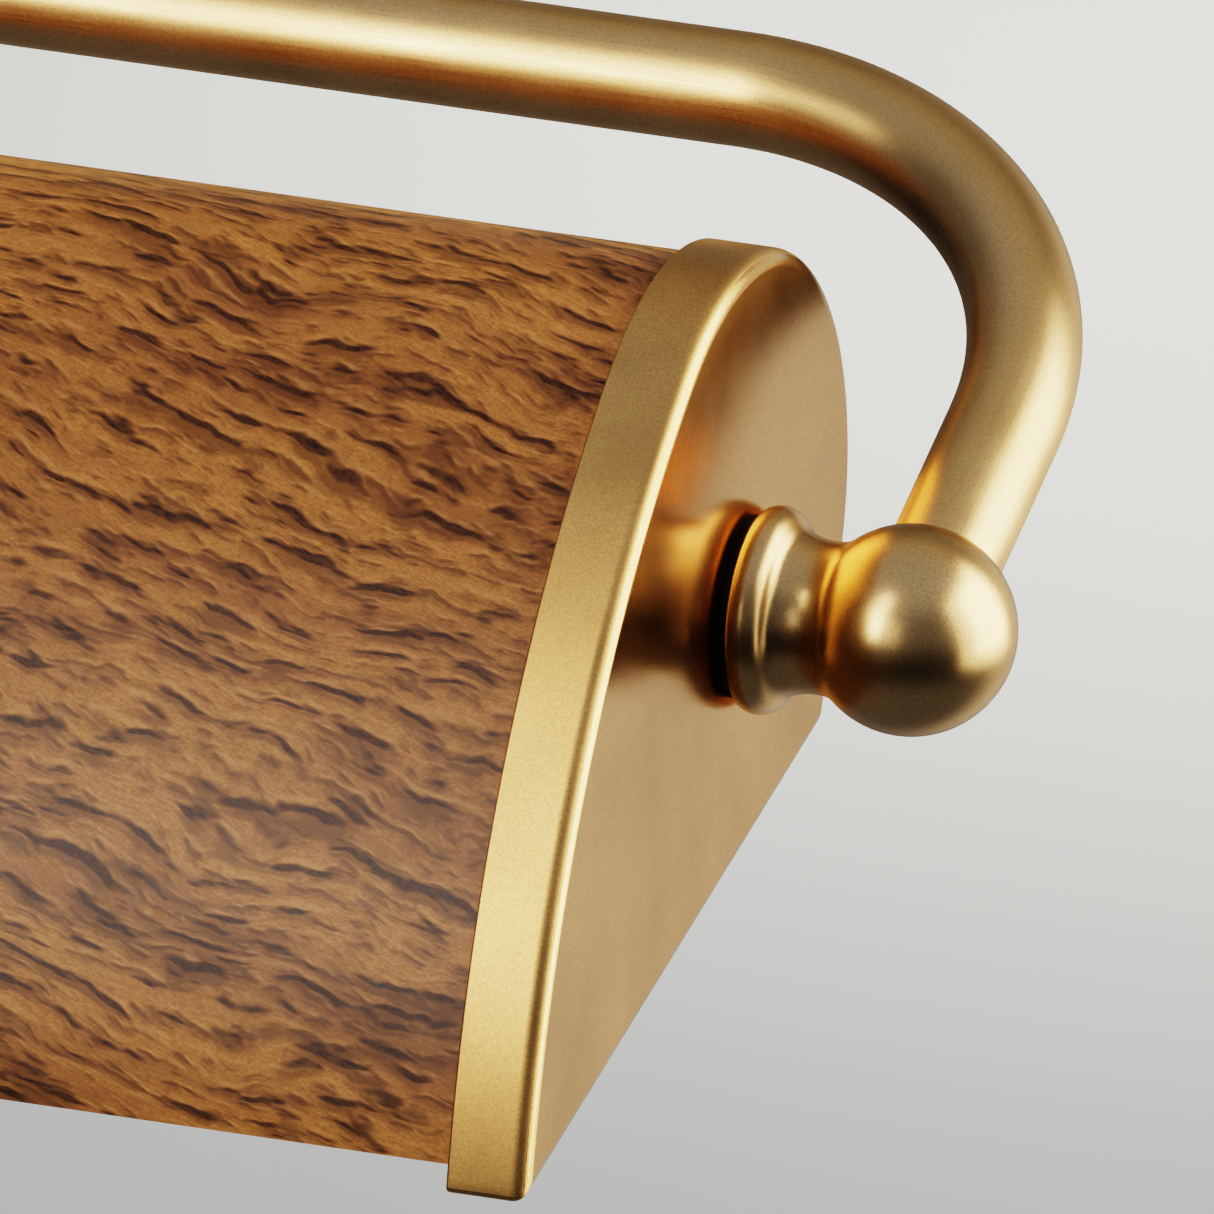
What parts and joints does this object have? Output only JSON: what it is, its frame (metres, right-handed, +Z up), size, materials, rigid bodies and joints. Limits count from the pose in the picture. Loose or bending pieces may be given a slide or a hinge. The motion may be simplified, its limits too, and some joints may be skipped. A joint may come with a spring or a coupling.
{
  "type": "picture light",
  "caption": "Wall picture light: a half-round wood-effect shade with brass end caps tilts between ball knuckles on a bent brass yoke, which swivels on a round wall plate.",
  "frame": {"origin": "centre of the mounting bracket's back face, on the wall, between the two wall screws", "axes": "+Z up, +Y into the wall, X along the shade"},
  "size_m": [0.3596, 0.2056, 0.1273],
  "materials": {
    "satin_brass": "satin, lightly aged and lacquered",
    "wood_effect_sheet": "printed dark walnut effect film on steel sheet, satin",
    "plated_steel": "zinc plated",
    "black_fibre": "matt",
    "holder_plastic": "moulded, satin",
    "terminal_plastic": "moulded, satin",
    "lead_sheath": "smooth",
    "opal_glass": "opal",
    "lamp_cap_metal": "bright"
  },
  "bodies": {
    "wall_mount": {"wall_plate": "satin_brass", "mounting_bracket": "plated_steel", "cover_studs": "plated_steel", "cover_nuts": "satin_brass", "plate_nipple": "plated_steel", "plate_washer": "plated_steel", "plate_nut": "plated_steel", "terminal_block": "terminal_plastic", "terminal_screws": "plated_steel", "earth_screw": "satin_brass", "wall_lead": "lead_sheath", "swivel_base": "satin_brass", "swivel_screw": "satin_brass", "thumb_nut": "satin_brass"},
    "arm": {"swivel_arm": "satin_brass", "stem_tube": "satin_brass", "tee_ball": "satin_brass", "yoke_tube": "satin_brass", "arm_lead": "lead_sheath", "knuckle_left": "satin_brass", "knuckle_right": "satin_brass", "pivot_stud_left": "plated_steel", "pivot_stud_right": "plated_steel", "spring_washer_left": "plated_steel", "spring_washer_right": "plated_steel", "pivot_nut_left": "plated_steel", "pivot_nut_right": "plated_steel"},
    "shade": {"shade_shell": "wood_effect_sheet", "end_cap_left": "satin_brass", "end_cap_right": "satin_brass", "friction_washer_left": "black_fibre", "friction_washer_right": "black_fibre", "tie_strap": "plated_steel", "strap_rivets": "plated_steel", "holder_plate_left": "plated_steel", "holder_plate_right": "plated_steel", "holder_nipple_left": "plated_steel", "holder_nipple_right": "plated_steel", "holder_nut_left": "plated_steel", "holder_nut_right": "plated_steel", "lampholder_left": "holder_plastic", "lampholder_right": "holder_plastic", "lamp_cap_left": "lamp_cap_metal", "lamp_cap_right": "lamp_cap_metal", "lamp_glass_left": "opal_glass", "lamp_glass_right": "opal_glass", "supply_lead": "lead_sheath", "link_lead": "lead_sheath"}
  },
  "joints": [
    {"name": "arm_tilt", "type": "hinge", "parent": "wall_mount", "child": "arm", "pos_m": [0, -0.04, 0], "axis": [1, 0, 0], "range_deg": [-40, 20]},
    {"name": "shade_tilt", "type": "hinge", "parent": "arm", "child": "shade", "pos_m": [0, -0.14987, -0.04439], "axis": [1, 0, 0], "range_deg": [-45, 75]}
  ]
}
